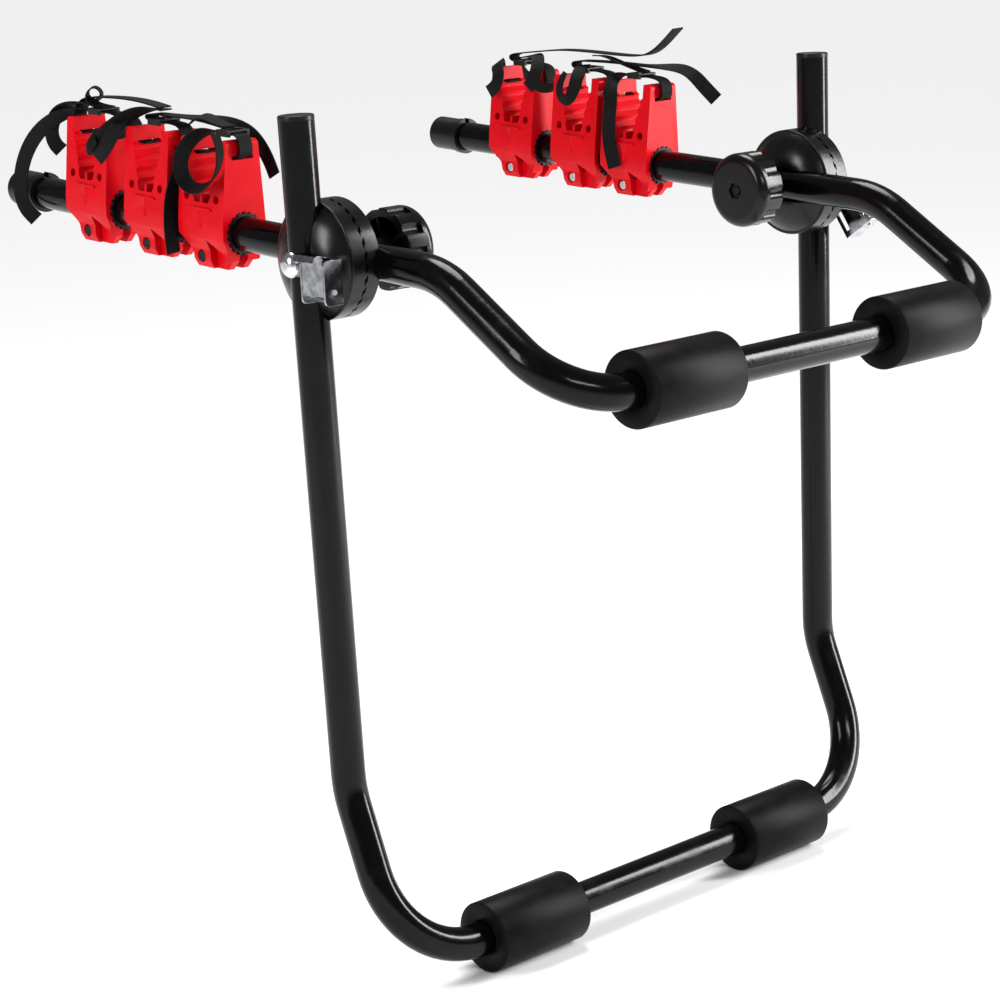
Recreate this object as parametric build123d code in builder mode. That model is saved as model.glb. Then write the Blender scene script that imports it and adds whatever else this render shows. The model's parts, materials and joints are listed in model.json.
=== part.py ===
from build123d import *
from math import cos, radians, sin, tan
import os

# A bike rack that straps onto the back of a car. A lower tube frame rests on the bumper, and an upper
# one is clamped to it at two toothed hubs and carries the bikes on its arms. Sizes in millimetres,
# angles in degrees. X runs across the car, Y from the car to the arm tips, Z up. The origin is the
# middle of the lower frame's crossbar.
os.makedirs("parts", exist_ok=True)

# Overrun of every cut, and the clearances
cut_over = 1.0
slip_gap = 0.08
seat_gap = 0.15
free_gap = 0.3

# Tubes of both frames
tube_od = 28.0
tube_wall = 1.5
tube_r = tube_od / 2

# Lower frame: a crossbar, two legs that lean to a kick, and two uprights that splay above it
lower_half_width = 281.5
lower_corner_r = 80.0
kick_back = 54.6
kick_height = 138.9
kick_r = 80.0
upright_splay = 1.0
hub_height = 563.3
upright_above_hub = 107.7
hub_y = kick_back

# Upper frame: a crossbar, two legs up to a bend, and two arms that pass the hubs
hub_spacing = 41.0
arm_rise = 3.5
arm_reach = 460.0
arm_inboard = 108.8
arm_bend_r = 90.0
upper_bar_back = 240.2
upper_bar_drop = 89.3
upper_corner_r = 58.0

# End caps
cap_head = 4.0
cap_plug_length = 16.0
cap_edge_r = 1.2
arm_cap_r = 16.0
arm_cap_skirt = 36.0
arm_cap_collar_r = 17.5
arm_cap_collar = 7.0
arm_cap_notch = 5.0

# Foam pads on the crossbars
pad_od = 59.0
pad_length = 94.0
pad_edge_r = 1.5
lower_pad_offset = 149.1
upper_pad_offset = 138.8

# Toothed hub discs, measured from the seam between the two
disc_r = 46.5
disc_rim = 13.5
disc_edge_r = 1.0
dome_base_r = 44.0
dome_rise = 14.5
dome_crown_r = 15.0
dome_middle_r = 33.0
dome_middle_rise_share = 0.66
seam_teeth = 30
seam_tooth_height = 1.3
seam_tooth_width = 5.0
seam_tooth_length = 8.0

# Hub bolt, with a square neck in the upright
bolt_r = 4.0
bolt_head_r = 10.0
bolt_head_height = 5.5
bolt_head_flat = 1.5
bolt_neck = 8.0
bolt_hole_gap = 0.3

# Saddle washer, knob and knob nut, inboard of the arm
washer_skirt_r = 13.0
washer_nose_r = 9.5
washer_skirt = 5.0
washer_wrap = 8.0
washer_reach = 34.0
knob_r = 32.5
knob_depth = 28.0
knob_front_edge_r = 8.0
knob_back_edge_r = 1.5
scallops = 10
scallop_r = 6.0
scallop_depth = 3.2
scallop_length_share = 0.62
knob_hollow_out_r = 25.5
knob_boss_r = 11.5
knob_hollow_depth = 14.0
knob_rib_count = 5
knob_rib = 2.4
nut_across = 13.0
nut_height = 6.5
nut_recess = 3.0
nut_fit = 0.1
bolt_past_nut = 1.5

# Cam buckle that swivels on the hub bolt: sheet body with two cheeks, pin, spring and lever
sheet = 1.8
tab_r = 10.0
tab_gap = 0.4
buckle_near = 31.0
buckle_far = 60.0
buckle_low = -25.0
buckle_high = 9.0
cheek_height = 17.0
cheek_corner_r = 4.0
web_slot = 5.0
web_slot_side = 3.5
web_slot_edge = 3.0
pin_r = 2.0
pin_up = -15.0
pin_out = 8.6
pin_head_r = 3.2
pin_head = 1.2
lever_gap = 0.5
lever_nose_r = 5.6
lever_plate = 2.0
lever_top = 8.0
lever_lip_r = 5.0
lever_teeth = 5
lever_tooth = 0.7
spring_wire = 0.8
spring_coil_r = 3.4
spring_turns = 3
spring_side_room = 5.0
right_buckle_droop = 56.0

# Wheel-frame cradles on the arms: outline across the arm, in shares of the half width and the heights
cradle_half = 30.5
cradle_top = 75.0
cradle_foot = 30.0
cradle_top_half_thick = 16.0
cradle_waist_half_thick = 21.5
cradle_waist_height = 8.0
lug_half_thick = 16.5
lug_toe_half_thick = 13.5
cradle_top_corner_r = 4.0
cradle_foot_corner_r = 5.0
foot_side_shares = (1.0, 0.6, 0.5, -0.66, -0.9, -1.0)
foot_drop_shares = (0.1, 0.58, 1.0, 1.0, 0.75, 0.27)
lug_drop_shares = (0.13, 0.5, 0.8, 1.0)
slit = 8.0
sleeve_bore_gap = 0.15
sleeve_wall = 2.1
spline_count = 18
spline_height = 1.3
spline_width = 2.6
spline_gap = 0.3
sleeve_r = tube_r + sleeve_bore_gap + sleeve_wall
cradle_bore_r = sleeve_r + spline_gap + spline_height
spline_reach = cradle_bore_r - spline_gap
sleeve_proud = 1.0

# The notch for a bike's tube: half widths at heights above the arm's axis
notch_floor = 24.0
notch_fin = 3.0
notch_fin_height = 6.0
notch_half_floor = 9.0
notch_tooth = 2.2
notch_half_widths = (11.5, 13.5, 16.0, 18.5)
notch_heights = (29.0, 38.0, 47.0, 56.0)
eye_r = 3.5
eye_side = 20.0
eye_height = 28.0

# Strap slots in the end walls, and the ledge and gusset on the faces
slot_width = 21.5
slot_thick = 3.2
slot_below_top = 13.5
ledge_half = 14.0
ledge_thick = 1.6
ledge_proud = 1.6
gusset_half = 8.0
gusset_drop = 15.0
gusset_tip = 0.8

# Clamp screw through the foot, and the pocket and recess beside its web
screw_r = 2.5
screw_side = 7.0
screw_drop = 21.0
screw_hole_gap = 0.2
screw_head_r = 4.7
screw_head = 3.2
pocket_r = 5.3
pocket_depth = 4.5
screw_nut_across = 8.0
screw_nut = 4.0
recess_depth = 6.5
recess_side_shares = (0.16, 0.88, 0.88, 0.2)
recess_drop_shares = (0.2, 0.62, 1.1, 1.1)

# Cradle straps: flat webbing and a three-bar slide
strap_width = 14.0
strap_thick = 1.6
slide_half_width = 11.0
slide_half_length = 8.0
slide_rail = 3.0
slide_bar = 3.0
slide_half_height = 2.6

# Places of the cradles on each arm, measured from the hub axis to their middles
left_cradles_from_tip = (296.0, 218.0, 130.0)
right_cradles_from_tip = (280.0, 211.5, 123.5)

# Routes of the straps, chosen by hand along what the arms carry. Each point is across, along and up
# from the cradle's middle on the arm's axis, with the turn of the webbing about its own run: at zero
# its width lies across the arm. Along grows to the arm's tip, across to the right of the car.
long_straps = {
    "left_1": ((0, -15, 61.2, 0), (0, -25, 61.4, 0), (0, -33.5, 62, 0), (0, -36, 69, 0), (0, -34, 77, 0),
               (0, -29, 80.5, 0), (0, -9, 80.5, 0), (-5, 0, 80.5, 8), (-15, 6, 79.5, 30), (-25, 12, 70, 45),
               (-28, 17, 56, 45), (-28, 14, 43, 40), (-28, 2, 35.5, 35), (-28, -14, 37, 35),
               (-27.5, -28, 45, 35), (-27, -37, 58, 35), (-26, -37, 72, 30), (-24, -28, 82, 25)),
    "left_2": ((0, -15, 61.2, 0), (0, -25, 61.4, 0), (0, -33.5, 62, 0), (0, -36, 69, 0), (0, -34, 77, 0),
               (0, -27, 80, 0), (0, -12, 80.5, 0), (0, 8, 80.5, 0), (0, 14, 81.2, 0), (0, 16.2, 83.2, 0),
               (0, 13, 85.4, 0), (0, 0, 86, 0), (1, -24, 86.5, 0), (4, -48, 87, 8), (11, -66, 85.5, 30),
               (22, -81, 80.5, 60), (28, -92, 71, 80), (29, -104, 58, 85), (29, -112, 44, 85)),
    "left_3": ((0, -15, 61.2, 0), (0, -25, 61.4, 0), (0, -33.5, 62, 0), (0, -36, 69, 0), (0, -34, 77, 0),
               (0, -27, 80.5, 0), (0, -12, 81, 0), (0, 8, 81, 0), (-2, 22, 80.5, 8), (-8, 40, 77, 30),
               (-14, 58, 69, 50), (-19, 76, 56, 60), (-22, 90, 38, 60), (-22.5, 99, 20, 60),
               (-22.5, 103, 2, 60), (-22, 97, -12, 55), (-20, 82, -20, 45)),
    "right_1": ((0, -15, 61.2, 0), (0, -25, 61.4, 0), (0, -33.5, 62, 0), (0, -36, 69, 0), (0, -34, 77, 0),
                (0, -27, 80.5, 0), (0, -12, 81, 0), (0, 8, 81, 0), (-3, 18, 81, 8), (-14, 20, 79, 30),
                (-24, 15, 71, 55), (-27, 11, 58, 65), (-27.5, 13, 42, 70), (-27.5, 14, 26, 70),
                (-27.5, 10, 10, 70), (-27.5, 5, -3, 70)),
    "right_2": ((0, -15, 61.2, 0), (0, -25, 61.4, 0), (0, -32.8, 62, 0), (0, -33.4, 69, 0), (0, -33, 77, 0),
                (0, -27, 80.5, 0), (0, -12, 81, 0), (0, 8, 81, 0), (0, 15, 82, 0), (0, 17.5, 85, 0),
                (0, 14, 88, 0), (0, 0, 89, 0), (0, -24, 90, 0), (0, -50, 90.5, 0), (1, -74, 90, 0),
                (7, -91, 90, 10), (20, -105, 89, 22), (26, -115, 81.5, 38), (28, -125, 72, 50),
               (29, -139, 62, 58)),
    "right_3": ((0, -15, 61.2, 0), (0, -25, 61.4, 0), (0, -33.5, 62, 0), (0, -36, 69, 0), (0, -34, 77, 0),
                (0, -27, 80.5, 0), (0, -12, 81, 0), (0, 8, 81, 0), (0, 15, 82, 0), (0, 17.5, 85, 0),
                (0, 14, 88, 0), (0, 0, 90, 0), (0, -24, 93, 0), (0, -52, 97, 0), (0, -84, 98, 0),
                (0, -116, 98, 0), (0, -146, 98, 0), (-1, -168, 100, 0), (-3, -184, 107, 0),
                (-4, -198, 118, 0), (-5, -210, 128, 0)),
}
short_straps = {
    "left_1": ((0, 15, 61.2, 0), (0, 25, 61.4, 0), (0, 33, 61, 0), (-4, 37.5, 56, 0), (-14, 38, 44, 0),
               (-22, 38, 28, 0), (-24.5, 38, 10, 0), (-24.5, 37.5, -8, 0), (-23, 37, -22, 0)),
    "left_2": ((0, 15, 61.2, 0), (0, 25, 61.4, 0), (0, 33.5, 62, 0), (0, 36.5, 69, 0), (-3, 36.5, 76, 10),
               (-12, 34.5, 80.5, 35), (-22, 33, 77, 55), (-27, 37, 66, 65), (-28, 46, 55, 70),
               (-28, 58, 46, 70)),
    "left_3": ((0, 15, 61.2, 0), (0, 25, 61.4, 0), (0, 33.5, 62, 0), (0, 36, 69, 0), (0, 34, 77, 0),
               (0, 29, 84, 0), (0, 22, 89, 0), (0, 12, 91.5, 0), (0, -6, 93, 0), (0, -28, 94.5, 0),
               (0, -52, 95, 0), (0, -74, 94, 0), (0, -92, 92, 0)),
    "right_2": ((0, 15, 61.2, 0), (0, 25, 61.4, 0), (0, 33.5, 61.3, 0), (-3, 38, 61, 15), (-11, 41, 60, 45),
                (-20, 45, 61, 70), (-24, 53, 66, 75), (-24, 64, 74, 70), (-20, 72, 81, 50)),
    "right_3": ((0, 15, 61.2, 0), (0, 25, 61.4, 0), (0, 33.5, 62, 0), (0, 36, 69, 0), (-3, 34, 77, 10),
                (-12, 27, 80.5, 35), (-22, 18, 77, 60), (-26, 10, 69, 75), (-27, 14, 58, 80),
                (-27, 24, 52, 80)),
}
# The run of each long strap that carries its slide, as the point it starts from
slide_runs = {"left_1": 5, "left_2": 6, "left_3": 6, "right_1": 6, "right_2": 6, "right_3": 6}


def upright_x(z):
    """Half the distance between the uprights' centrelines at a height above the crossbar."""
    return lower_half_width + (z - kick_height) * tan(radians(upright_splay))


frame_top = hub_height + upright_above_hub
hub_x = upright_x(hub_height)
arm_x = hub_x - hub_spacing
arm_run = Vector(0, cos(radians(arm_rise)), sin(radians(arm_rise)))
arm_up = Vector(0, -sin(radians(arm_rise)), cos(radians(arm_rise)))
half_gap = hub_spacing / 2
knob_back = washer_reach
knob_front = knob_back + knob_depth
nut_front = knob_front - nut_recess


def write(part, name, place=None):
    """Label a finished piece, put it at its place and write it."""
    if place is not None:
        part = part.moved(place)
    part.label = name
    export_step(part, f"parts/{name}.step")


def hub_plane(side, x, toward, run):
    """A plane on the hub axis whose Z points out of or into the rack, and whose X follows a tube."""
    return Plane(origin=(side * x, hub_y, hub_height), x_dir=run, z_dir=(side * toward, 0, 0))


def arm_plane(side, along):
    """A cradle's plane on the arm: X across the rack, Y along the arm, Z square to it."""
    origin = Vector(side * arm_x, hub_y, hub_height) + arm_run * along
    return Plane(origin=origin, x_dir=(1, 0, 0), z_dir=arm_up)


def bent_tube(points, radii, holes):
    """A round tube along straight runs and bends, with cross holes given as plane and square size."""
    with BuildPart() as tube:
        with BuildLine() as route:
            FilletPolyline(*points, radius=radii)
        with BuildSketch(Plane(origin=route.line @ 0, z_dir=route.line % 0)):
            Circle(tube_r)
            Circle(tube_r - tube_wall, mode=Mode.SUBTRACT)
        sweep(path=route.line)
        for plane, square in holes:
            with BuildSketch(plane):
                if square:
                    Rectangle(square, square)
                else:
                    Circle(bolt_r + slip_gap)
            extrude(amount=tube_r + cut_over, mode=Mode.SUBTRACT)
    return tube.part


def make_bumper_frame():
    """The lower frame, with a square hole for the bolt's neck in each upright's outer wall."""
    corners = []
    for side in (-1, 1):
        ends = [(side * upright_x(frame_top), hub_y, frame_top), (side * lower_half_width, hub_y, kick_height)]
        foot = [(side * lower_half_width, 0, 0)]
        corners += ends + foot if side < 0 else foot + ends[::-1]
    holes = []
    for side in (-1, 1):
        holes.append((hub_plane(side, hub_x, 1, (0, 0, 1)), bolt_neck + 2 * seat_gap))
        holes.append((hub_plane(side, hub_x, -1, (0, 0, 1)), 0))
    return bent_tube(corners, [kick_r, lower_corner_r, lower_corner_r, kick_r], holes)


def make_trunk_frame():
    """The upper frame: arms, bends, legs and its crossbar, with round holes for the hub bolts."""
    corners = []
    for side in (-1, 1):
        hub = Vector(side * arm_x, hub_y, hub_height)
        bar = Vector(side * arm_x, hub_y - upper_bar_back, hub_height - upper_bar_drop)
        run = [hub + arm_run * arm_reach, hub - arm_run * arm_inboard, bar]
        corners += run if side < 0 else run[::-1]
    holes = []
    for side in (-1, 1):
        holes.append((hub_plane(side, arm_x, 1, arm_run), 0))
        holes.append((hub_plane(side, arm_x, -1, arm_run), 0))
    return bent_tube(corners, [arm_bend_r, upper_corner_r, upper_corner_r, arm_bend_r], holes)


def make_upright_cap():
    """A flat cap on a plug that fills the end of an upright."""
    with BuildPart() as cap:
        with BuildSketch():
            Circle(tube_r)
        extrude(amount=cap_head)
        fillet(cap.edges().sort_by(Axis.Z)[-1], radius=cap_edge_r)
        with BuildSketch():
            Circle(tube_r - tube_wall - seat_gap)
        extrude(amount=-cap_plug_length)
    return cap.part


def make_arm_cap():
    """A cap that slips over an arm's tip, with a collar and a notch at its mouth."""
    mouth = -arm_cap_skirt
    with BuildPart() as cap:
        with BuildSketch(Plane.XY.offset(mouth)):
            Circle(arm_cap_r)
        extrude(amount=arm_cap_skirt + cap_head)
        fillet(cap.edges().sort_by(Axis.Z)[-1], radius=cap_edge_r)
        with BuildSketch(Plane.XY.offset(mouth)):
            Circle(arm_cap_collar_r)
        extrude(amount=arm_cap_collar)
        with BuildSketch(Plane.XY.offset(mouth)):
            Circle(tube_r + seat_gap)
        extrude(amount=arm_cap_skirt + seat_gap, mode=Mode.SUBTRACT)
        with BuildSketch(Plane.XY.offset(mouth)):
            with Locations((arm_cap_collar_r, 0)):
                Rectangle(2 * (arm_cap_collar_r - tube_r + cut_over), arm_cap_notch)
        extrude(amount=arm_cap_collar, mode=Mode.SUBTRACT)
    return cap.part


def make_pad():
    """A foam roll on a crossbar, along its own Z."""
    with BuildPart() as pad:
        with BuildSketch():
            Circle(pad_od / 2)
        extrude(amount=pad_length / 2, both=True)
        fillet(pad.edges(), radius=pad_edge_r)
        with BuildSketch():
            Circle(tube_r + seat_gap)
        extrude(amount=pad_length / 2 + cut_over, both=True, mode=Mode.SUBTRACT)
    return pad.part


def make_hub_disc(lean):
    """Half a hub, from its toothed seam at Z 0 up to the tube it carries along X."""
    crown = disc_rim + dome_rise
    channel = tube_r + seat_gap
    lean_run = Vector(cos(radians(lean)), 0, sin(radians(lean)))
    with BuildPart() as disc:
        with BuildSketch(Plane.XZ):
            with BuildLine():
                Polyline((bolt_r + bolt_hole_gap, crown), (bolt_r + bolt_hole_gap, free_gap / 2),
                         (disc_r, free_gap / 2), (disc_r, disc_rim), (dome_base_r, disc_rim))
                ThreePointArc((dome_base_r, disc_rim),
                              (dome_middle_r, disc_rim + dome_rise * dome_middle_rise_share),
                              (dome_crown_r, crown))
                Line((dome_crown_r, crown), (bolt_r + bolt_hole_gap, crown))
            make_face()
        revolve(axis=Axis.Z)
        circles = disc.edges().filter_by(GeomType.CIRCLE)
        rims = circles.filter_by(lambda edge: edge.radius > dome_base_r + seat_gap)
        fillet(rims.sort_by(Axis.Z)[-1], radius=disc_edge_r)
        with BuildSketch(Plane(origin=(0, 0, half_gap), z_dir=lean_run)):
            Circle(channel)
        extrude(amount=disc_r + cut_over, both=True, mode=Mode.SUBTRACT)
        with BuildSketch(Plane.XY.offset(half_gap)):
            Rectangle(2 * (disc_r + cut_over), 2 * channel)
        extrude(amount=crown - half_gap + cut_over, mode=Mode.SUBTRACT)
        with BuildSketch():
            with PolarLocations(disc_r - seam_tooth_length / 2, seam_teeth):
                Rectangle(seam_tooth_length + cut_over, seam_tooth_width)
        extrude(amount=seam_tooth_height + free_gap / 2, mode=Mode.SUBTRACT)
    return disc.part


def make_hub_bolt():
    """A cup-head bolt with a square neck, on the hub axis, with Z out of the rack from the upright."""
    head_seat = tube_r + tab_gap + sheet + seat_gap
    end = hub_spacing + nut_front + bolt_past_nut
    with BuildPart() as bolt:
        with BuildSketch(Plane.XZ):
            with BuildLine():
                Line((0, head_seat), (bolt_head_r, head_seat))
                ThreePointArc((bolt_head_r, head_seat),
                              (bolt_head_r * cos(radians(45)), head_seat + bolt_head_height * sin(radians(45))),
                              (bolt_head_flat, head_seat + bolt_head_height))
                Polyline((bolt_head_flat, head_seat + bolt_head_height), (0, head_seat + bolt_head_height),
                         (0, head_seat))
            make_face()
        revolve(axis=Axis.Z)
        with BuildSketch(Plane.XY.offset(head_seat)):
            Circle(bolt_r)
        extrude(amount=-(head_seat + end))
        chamfer(bolt.edges().sort_by(Axis.Z)[0], length=tube_wall / 2)
        with BuildSketch(Plane.XY.offset(head_seat)):
            Rectangle(bolt_neck, bolt_neck)
        extrude(amount=-(head_seat - tube_r + tube_wall))
    return bolt.part


def make_saddle_washer():
    """The spacer between an arm and its knob: Z runs inboard from the arm's axis, X along the arm."""
    with BuildPart() as washer:
        with BuildSketch(Plane.XZ):
            with BuildLine():
                Polyline((0, washer_wrap), (washer_skirt_r, washer_wrap), (washer_skirt_r, tube_r + washer_skirt),
                         (washer_nose_r, tube_r + 2 * washer_skirt), (washer_nose_r, washer_reach),
                         (0, washer_reach), (0, washer_wrap))
            make_face()
        revolve(axis=Axis.Z)
        with BuildSketch(Plane.YZ):
            Circle(tube_r + seat_gap)
        extrude(amount=washer_skirt_r + cut_over, both=True, mode=Mode.SUBTRACT)
        with BuildSketch():
            Circle(bolt_r + bolt_hole_gap)
        extrude(amount=washer_reach + cut_over, mode=Mode.SUBTRACT)
    return washer.part


def make_knob():
    """A scalloped hand knob with a ribbed back and a seat for its nut, Z inboard from the arm's axis."""
    back = knob_back + seat_gap
    depth = knob_front - back
    with BuildPart() as knob:
        with BuildSketch(Plane.XY.offset(back)):
            Circle(knob_r)
        extrude(amount=depth)
        fillet(knob.edges().sort_by(Axis.Z)[-1], radius=knob_front_edge_r)
        fillet(knob.edges().sort_by(Axis.Z)[0], radius=knob_back_edge_r)
        with BuildSketch(Plane.XY.offset(back)):
            with PolarLocations(knob_r + scallop_r - scallop_depth, scallops):
                Circle(scallop_r)
        extrude(amount=depth * scallop_length_share, mode=Mode.SUBTRACT)
        with BuildSketch(Plane.XY.offset(back)):
            Circle(knob_hollow_out_r)
            Circle(knob_boss_r, mode=Mode.SUBTRACT)
            with PolarLocations((knob_hollow_out_r + knob_boss_r) / 2, knob_rib_count):
                Rectangle(knob_hollow_out_r, knob_rib, mode=Mode.SUBTRACT)
        extrude(amount=knob_hollow_depth, mode=Mode.SUBTRACT)
        with BuildSketch(Plane.XY.offset(back)):
            Circle(bolt_r + bolt_hole_gap)
        extrude(amount=depth, mode=Mode.SUBTRACT)
        with BuildSketch(Plane.XY.offset(nut_front - nut_height - nut_fit)):
            RegularPolygon(nut_across / 2 + nut_fit, 6, major_radius=False)
        extrude(amount=nut_height + nut_recess + cut_over, mode=Mode.SUBTRACT)
    return knob.part


def make_knob_nut():
    """The hexagon nut that sits in the knob."""
    with BuildPart() as nut:
        with BuildSketch(Plane.XY.offset(nut_front - nut_height)):
            RegularPolygon(nut_across / 2, 6, major_radius=False)
            Circle(bolt_r + slip_gap, mode=Mode.SUBTRACT)
        extrude(amount=nut_height)
    return nut.part


def make_buckle_body():
    """The bent sheet of a cam buckle: X from the bolt to the webbing, Y along the webbing, Z outward."""
    base = tube_r + tab_gap
    middle_y = (buckle_low + buckle_high) / 2
    span_y = buckle_high - buckle_low
    middle_x = (buckle_near + buckle_far) / 2
    span_x = buckle_far - buckle_near
    slot_x = span_x - 2 * sheet - 2 * web_slot_side
    with BuildPart() as body:
        with BuildSketch(Plane.XY.offset(base)):
            Circle(tab_r)
            with Locations((buckle_near / 2, 0)):
                Rectangle(buckle_near, 2 * tab_r - 2 * sheet)
            with Locations((middle_x, middle_y)):
                Rectangle(span_x, span_y)
            Circle(bolt_neck * cos(radians(45)) + bolt_hole_gap, mode=Mode.SUBTRACT)
            for y in (buckle_low + web_slot_edge + web_slot / 2, buckle_high - web_slot_edge - web_slot / 2):
                with Locations((middle_x, y)):
                    Rectangle(slot_x, web_slot, mode=Mode.SUBTRACT)
        extrude(amount=sheet)
        for x in (buckle_near, buckle_far - sheet):
            with BuildSketch(Plane.YZ.offset(x)) as cheek:
                with Locations((middle_y, base + cheek_height / 2)):
                    Rectangle(span_y, cheek_height)
                fillet(cheek.vertices().group_by(Axis.Y)[-1], radius=cheek_corner_r)
                with Locations((pin_up, base + pin_out)):
                    Circle(pin_r + slip_gap, mode=Mode.SUBTRACT)
            extrude(amount=sheet)
    return body.part


def make_cam_pin():
    """The headed pin through both cheeks."""
    with BuildPart() as pin:
        with BuildSketch(Plane.YZ.offset(buckle_near - seat_gap - pin_head)):
            with Locations((pin_up, tube_r + tab_gap + pin_out)):
                Circle(pin_head_r)
        extrude(amount=pin_head)
        with BuildSketch(Plane.YZ.offset(buckle_near - seat_gap)):
            with Locations((pin_up, tube_r + tab_gap + pin_out)):
                Circle(pin_r)
        extrude(amount=buckle_far - buckle_near + 2 * seat_gap + pin_head)
    return pin.part


def make_cam_lever():
    """The spring-loaded cam: a toothed nose on the pin, a flat thumb plate and a curled lip."""
    base = tube_r + tab_gap
    near = buckle_near + sheet + lever_gap
    far = buckle_far - sheet - lever_gap
    pin = (pin_up, base + pin_out)
    plate_low = base + cheek_height - lever_plate
    plate_high = base + cheek_height
    tooth_angle = 180 / (2 * lever_teeth)
    with BuildPart() as lever:
        with BuildSketch(Plane.YZ.offset(near)):
            with Locations(pin):
                Circle(lever_nose_r)
            with BuildLine():
                Polyline((pin_up - lever_nose_r, base + pin_out), (pin_up - lever_nose_r / 2, plate_high),
                         (lever_top, plate_high), (lever_top, plate_low), (pin_up + lever_nose_r, base + pin_out),
                         (pin_up - lever_nose_r, base + pin_out))
            make_face()
            with Locations((lever_top, plate_high + lever_lip_r - lever_plate)):
                Circle(lever_lip_r)
                Circle(lever_lip_r - lever_plate, mode=Mode.SUBTRACT)
            with Locations((lever_top - lever_lip_r, plate_high + lever_lip_r)):
                Rectangle(2 * lever_lip_r, 2 * lever_lip_r, mode=Mode.SUBTRACT)
            with Locations(pin):
                Circle(pin_r + slip_gap, mode=Mode.SUBTRACT)
                with PolarLocations(lever_nose_r, lever_teeth, 180 + tooth_angle, 180):
                    Rectangle(2 * lever_tooth, 2 * lever_tooth, 45, mode=Mode.SUBTRACT)
        extrude(amount=far - near)
        with BuildSketch(Plane.YZ.offset(far - spring_side_room)):
            with Locations(pin):
                Circle(lever_nose_r + cut_over)
        extrude(amount=spring_side_room + cut_over, mode=Mode.SUBTRACT)
    return lever.part


def make_cam_spring():
    """The torsion spring on the pin, in the room that the cam leaves beside its nose."""
    pitch = (spring_side_room - spring_wire - 2 * free_gap) / spring_turns
    start = buckle_far - sheet - lever_gap - spring_side_room + free_gap + spring_wire / 2
    coil = Plane(origin=(start, pin_up, tube_r + tab_gap + pin_out), x_dir=(0, 1, 0), z_dir=(1, 0, 0))
    with BuildPart() as spring:
        with BuildLine() as turns:
            Helix(pitch=pitch, height=pitch * spring_turns, radius=spring_coil_r)
        with BuildSketch(Plane(origin=turns.line @ 0, z_dir=turns.line % 0)):
            Circle(spring_wire / 2)
        sweep(path=turns.line, is_frenet=True)
    return spring.part.moved(coil.location)


def half_thickness(height):
    """Half the cradle's thickness between its waist and its top."""
    rise = (height - cradle_waist_height) / (cradle_top - cradle_waist_height)
    return cradle_waist_half_thick + (cradle_top_half_thick - cradle_waist_half_thick) * rise


def notch_outline(side):
    """One side of the bike tube's notch, from its floor to above the cradle, stepping out over teeth."""
    points = [(0, notch_floor), (notch_half_floor, notch_floor)]
    for half, height in zip(notch_half_widths, notch_heights):
        points += [(half, height), (half, height + notch_tooth)]
        points += [(half - notch_tooth / 2, height + 2 * notch_tooth)]
    mouth = notch_half_widths[-1] + notch_tooth
    points += [(mouth, notch_heights[-1] + 3 * notch_tooth), (mouth, cradle_top + cut_over)]
    return [(side * y, z) for y, z in points]


def end_outline():
    """The cradle seen along the arm: narrow at the top, widest at its waist, with a lug below."""
    right = [(cradle_top_half_thick, cradle_top), (cradle_waist_half_thick, cradle_waist_height),
             (cradle_waist_half_thick, -cradle_foot * lug_drop_shares[0]),
             (lug_half_thick, -cradle_foot * lug_drop_shares[1]),
             (lug_half_thick, -cradle_foot * lug_drop_shares[2]),
             (lug_toe_half_thick, -cradle_foot * lug_drop_shares[3])]
    return right + [(-x, z) for x, z in reversed(right)]


def make_cradle_block():
    """The cradle's outer form, as the meeting of its side and end outlines, with ledges and gussets."""
    foot = [(side * cradle_half, -drop * cradle_foot) for side, drop in zip(foot_side_shares, foot_drop_shares)]
    with BuildPart() as block:
        with BuildSketch(Plane.YZ) as side_view:
            with BuildLine():
                Polyline((-cradle_half, cradle_top), (cradle_half, cradle_top), *foot, close=True)
            make_face()
            corners = side_view.vertices()
            fillet(corners.group_by(Axis.Y)[-1], radius=cradle_top_corner_r)
            fillet(corners.group_by(Axis.Y)[0], radius=cradle_foot_corner_r)
        extrude(amount=cradle_waist_half_thick, both=True)
        with BuildSketch(Plane.XZ) as end_view:
            with BuildLine():
                Polyline(*end_outline(), close=True)
            make_face()
            fillet(end_view.vertices().group_by(Axis.Y)[2], radius=cradle_foot_corner_r)
        extrude(amount=cradle_half, both=True, mode=Mode.INTERSECT)
        ledge_height = notch_floor - cradle_top_corner_r - ledge_thick
        for side in (-1, 1):
            face = side * half_thickness(ledge_height)
            with BuildSketch(Plane.XY.offset(ledge_height)):
                with Locations((face, 0)):
                    Rectangle(2 * ledge_proud, 2 * ledge_half)
            extrude(amount=ledge_thick)
            tip_height = ledge_height - gusset_drop
            tip = side * half_thickness(tip_height)
            with BuildSketch(Plane.XY.offset(ledge_height)):
                with BuildLine():
                    Polyline((face - side * ledge_proud, gusset_half), (face + side * ledge_proud, 0),
                             (face - side * ledge_proud, -gusset_half), close=True)
                make_face()
            with BuildSketch(Plane.XY.offset(tip_height)):
                with BuildLine():
                    Polyline((tip - side * ledge_proud, gusset_tip), (tip + side * gusset_tip, 0),
                             (tip - side * ledge_proud, -gusset_tip), close=True)
                make_face()
            loft()
    return block.part


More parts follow.
